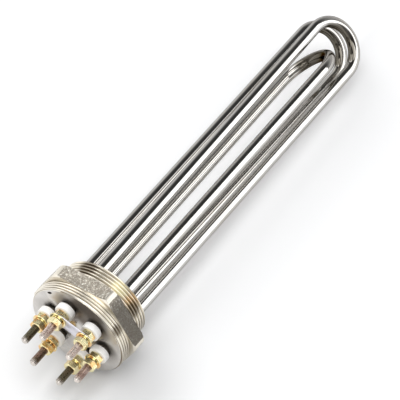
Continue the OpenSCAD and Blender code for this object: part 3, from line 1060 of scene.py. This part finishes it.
# Softboxes: name, place, target, size and watts
LAMPS = (("key", (0.1, 0.8, 0.95), (0.1, 0, 0), (0.75, 1.0), 7.0),
         ("strip", (0.74, -0.77, 0.49), (0.74, 0, 0), (0.58, 1.2), 4.6),
         ("overhead", (-0.25, -0.3, 1.05), (-0.25, -0.1, 0), (1.3, 0.85), 9.0),
         ("front", (-1.1, -0.1, 0.78), (0, 0, 0), (0.9, 0.5), 3.4))
# Middles of the floor's white in millimetres, near and far, and how it grows: from, to, least, most. Near the
# plug the white is held back as a painted contact shadow
CONTACT_SHADOW_SPOT, CONTACT_SHADOW_FADE = (-22, -20), (0.015, 0.075, 0.0, 0.15)
FAR_SPOT, FAR_WHITE = (140, 0), (0.4, 1.3, 0.0, 0.75)
# Painted light that lightens the shadow between the legs: its middle, how it ends to the sides, and how it starts
# behind the plug
LIT_STRIP_Y, LIT_STRIP_SIDES, LIT_STRIP_START = 0.018, (0.01, 0.026), (0.03, 0.09, 0.0, 0.13)


def add_camera():
    """Stands the camera where the photograph was taken."""
    across = math.cos(CAMERA_ELEVATION)
    back = Vector((-across * math.cos(CAMERA_AZIMUTH), -across * math.sin(CAMERA_AZIMUTH),
                   math.sin(CAMERA_ELEVATION)))
    right = (-back).cross(Vector((0, 0, 1))).normalized()
    up = right.cross(-back)
    data = bpy.data.cameras.new("camera")
    data.lens = CAMERA_FOCUS * data.sensor_width
    data.clip_end = 20.0
    camera = linked("camera", data)
    place = CAMERA_TARGET + back * CAMERA_DISTANCE + right * CAMERA_RIGHT + up * CAMERA_UP
    level = Matrix((right, up, back)).transposed()
    camera.matrix_world = Matrix.Translation(place) @ (level @ Matrix.Rotation(CAMERA_ROLL, 3, "Z")).to_4x4()
    bpy.context.scene.camera = camera


def add_softbox(name, place, target, size, watts):
    """A rectangular lamp that looks at a target."""
    data = bpy.data.lights.new(name, "AREA")
    data.shape, data.size, data.size_y = "RECTANGLE", *size
    data.energy = watts
    lamp = linked(name, data)
    lamp.location = place
    lamp.rotation_mode = "QUATERNION"
    lamp.rotation_quaternion = (Vector(target) - Vector(place)).to_track_quat("-Z", "Y")


def add_floor(s, colors):
    """A pale floor that touches the hexagon and the lowest bend, keeps the shadow and goes over to white, with a
    painted contact shadow beside the plug and painted light in the shadow between the legs.
    """
    low = -s.hex_af / 2
    slope = min((v.co.z - low) / v.co.x for i in (1, 2, 3)
                for v in frame["nodes"][f"element_sheath_{i}"].data.vertices if v.co.x > 0.1)
    bm = bmesh.new()
    lie = Matrix.Translation((0, 0, low)) @ Matrix.Rotation(-math.atan(slope), 4, "Y")
    bmesh.ops.create_grid(bm, x_segments=8, y_segments=8, size=4.0, matrix=lie)
    mesh = as_mesh("floor", bm)
    f = Finish("pale_floor", 0.0, Base_Color=(*colors.floor, 1), Roughness=0.9, Specular_IOR_Level=0.1,
               Emission_Strength=1.0)
    camera, glossy, through = (f.node("ShaderNodeLightPath", output=f"Is {ray} Ray")
                               for ray in ("Camera", "Glossy", "Transmission"))
    shows = camera.math("MAXIMUM", glossy).math("MAXIMUM", through)
    x, y, _ = f.parts()
    # Painted light that lightens the shadow between the legs
    painted_lit_strip = (1 - (y - LIT_STRIP_Y).math("ABSOLUTE").band(*LIT_STRIP_SIDES)) * x.band(*LIT_STRIP_START)
    near, far = (f.away((*spot, low / MM)) for spot in (CONTACT_SHADOW_SPOT, FAR_SPOT))
    # Near the plug the white is held back, which paints a darker contact shadow
    white = near.band(*CONTACT_SHADOW_FADE) + far.band(*FAR_WHITE) + painted_lit_strip
    f.feed(f.shader.inputs["Emission Color"], f.mix(shows * white, (0, 0, 0), (1, 1, 1)))
    mesh.materials.append(f.material)
    floor = linked("floor", mesh)


def add_world():
    """White behind the object, and for the rest a room with a dark ceiling and bright walls."""
    world = bpy.data.worlds.new("studio")
    bpy.context.scene.world = world
    world.use_nodes = True
    g = Graph(world.node_tree)
    back = g.tree.nodes["Background"]
    x, y, z = g.parts(g.node("ShaderNodeTexCoord", output=0))
    camera = g.node("ShaderNodeLightPath", output="Is Camera Ray")
    wall = (1 - z).band(0.2, 0.95)
    front = (-1 * x).band(0.3, 0.9)
    left, right = y.band(0.3, 0.8), (-1 * y).band(0.3, 0.8)
    level = 0.05 + wall * (0.6 - 0.36 * right + 0.4 * left + 0.45 * front)
    g.feed(back.inputs["Color"], (1, 1, 1, 1))
    g.feed(back.inputs["Strength"], camera + (1 - camera) * level)


class HEATER_OT_stage(HeaterOperator):
    """Makes the floor, the lamps, the room and the camera."""
    bl_idname = "heater.stage"
    bl_label = "Stage"

    def execute(self, context):
        context.scene.view_settings.view_transform = "Standard"
        add_floor(self.sizes, self.colors)
        for lamp in LAMPS:
            add_softbox(*lamp)
        add_world()
        add_camera()
        return {"FINISHED"}


OPERATORS = (HEATER_OT_plug, HEATER_OT_hairpins, HEATER_OT_fillets, HEATER_OT_studs, HEATER_OT_insulators,
             HEATER_OT_nuts, HEATER_OT_washers, HEATER_OT_link, HEATER_OT_cores, HEATER_OT_stage)


class HEATER_PT_panel(bpy.types.Panel):
    """Lists the heater's pieces, sizes and colours."""
    bl_idname = "HEATER_PT_panel"
    bl_label = "Immersion heater"
    bl_space_type = "VIEW_3D"
    bl_region_type = "UI"
    bl_category = "Heater"

    def draw(self, context):
        for operator in OPERATORS:
            self.layout.operator(operator.bl_idname)
        for group in (context.scene.heater_sizes, context.scene.heater_finishes):
            box = self.layout.box()
            for name in group.__annotations__:
                box.prop(group, name, text=name.replace("_", " ").capitalize())


CLASSES = (HeaterSizes, HeaterFinishes, *OPERATORS, HEATER_PT_panel)


def register():
    """Makes the classes known to Blender and gives the scene its settings."""
    for one in CLASSES:
        bpy.utils.register_class(one)
    bpy.types.Scene.heater_sizes = bpy.props.PointerProperty(type=HeaterSizes)
    bpy.types.Scene.heater_finishes = bpy.props.PointerProperty(type=HeaterFinishes)


def unregister():
    """Takes the settings and the classes away again."""
    del bpy.types.Scene.heater_sizes
    del bpy.types.Scene.heater_finishes
    for one in reversed(CLASSES):
        bpy.utils.unregister_class(one)


def main():
    """Builds every piece and the stage."""
    register()
    for operator in OPERATORS:
        group, name = operator.bl_idname.split(".")
        getattr(getattr(bpy.ops, group), name)()


if __name__ == "__main__":
    main()
